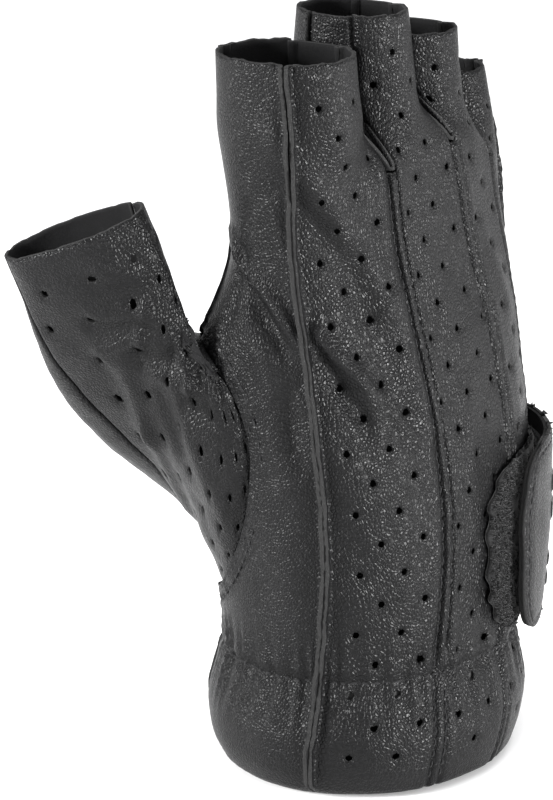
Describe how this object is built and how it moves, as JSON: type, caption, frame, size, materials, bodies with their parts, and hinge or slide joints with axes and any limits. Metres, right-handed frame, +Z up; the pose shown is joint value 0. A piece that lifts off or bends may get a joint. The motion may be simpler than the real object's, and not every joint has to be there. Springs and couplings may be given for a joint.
{
  "type": "fingerless leather glove",
  "caption": "Half-finger glove of sewn leather panels with a perforated back, a set-in thumb, an elasticated wrist and a strap that peels open.",
  "frame": {"origin": "middle of the cuff opening, level with the bottom of the folded hem", "axes": "+Z up the hand from cuff to fingers, -Y towards the back of the hand, +X towards the little finger and -X towards the thumb"},
  "size_m": [0.1165, 0.0924, 0.1726],
  "materials": {
    "perforated_leather": "black pebble-grain leather, half gloss",
    "smooth_leather": "black fine-grain leather, half gloss",
    "elastic": "woven elastic",
    "loop_pile": "matt loop pile",
    "hook_tape": "matt hook tape",
    "thread": "twisted thread"
  },
  "bodies": {
    "glove": {"back_panel": "perforated_leather", "side_panel": "smooth_leather", "palm_panel": "smooth_leather", "fourchette_index_middle": "smooth_leather", "fourchette_middle_ring": "smooth_leather", "fourchette_ring_little": "smooth_leather", "thumb_back": "perforated_leather", "thumb_palm": "smooth_leather", "wrist_elastic": "elastic", "loop_patch": "loop_pile", "strap_root": "perforated_leather", "tuck_stitching": "thread", "hem_stitching": "thread", "thumb_stitching": "thread", "root_stitching": "thread", "loop_patch_stitching": "thread"},
    "strap": {"strap": "perforated_leather", "strap_lining": "smooth_leather", "hook_patch": "hook_tape", "strap_stitching": "thread"}
  },
  "joints": [
    {"name": "strap_peel", "type": "hinge", "parent": "glove", "child": "strap", "pos_m": [0.04665, -0.00476, 0.05], "axis": [0.2003, 0.0206, 0.9795], "range_deg": [0, 105]}
  ]
}
